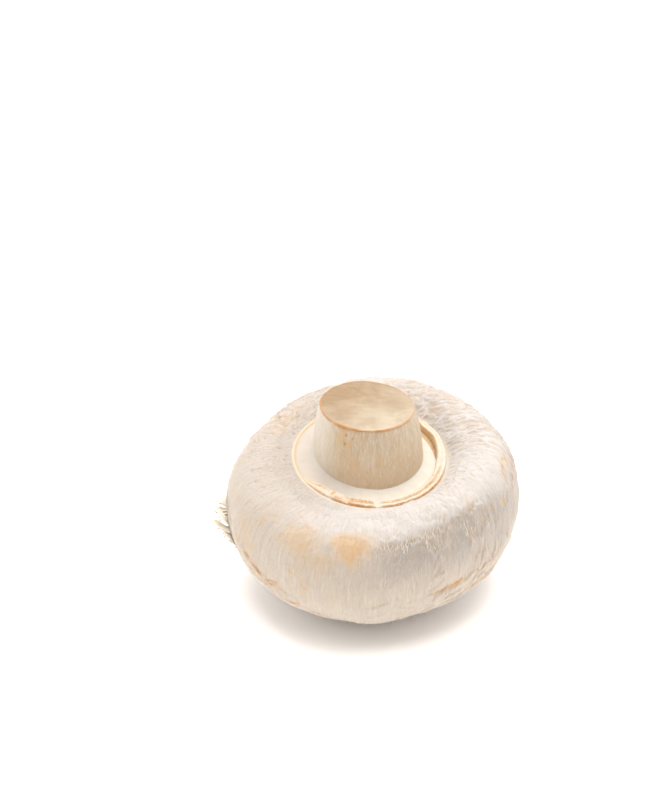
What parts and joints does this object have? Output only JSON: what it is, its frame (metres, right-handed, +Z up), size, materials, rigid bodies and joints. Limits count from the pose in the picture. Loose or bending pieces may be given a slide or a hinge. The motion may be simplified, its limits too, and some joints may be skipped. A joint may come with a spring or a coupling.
{
  "type": "button mushroom",
  "caption": "Closed-cup button mushroom with a scaly rolled cap, a smooth veil and a short flat-cut stem, lying on its crown.",
  "frame": {"origin": "centre of the small flat spot under the crown that the mushroom rests on", "axes": "+Z up, -Y to the front, where the stem leans a little; the stem points up"},
  "size_m": [0.0523, 0.049, 0.0392],
  "materials": {
    "cap_skin": "off-white fibrous mushroom skin, matt, with tan stains and torn scales",
    "veil_membrane": "smooth cream membrane, soft satin",
    "stem_flesh": "cream fibrous stem with a tan cut face and a thin orange-brown rim"
  },
  "bodies": {
    "root": {"cap": "cap_skin", "veil": "veil_membrane", "stem": "stem_flesh"}
  },
  "joints": []
}
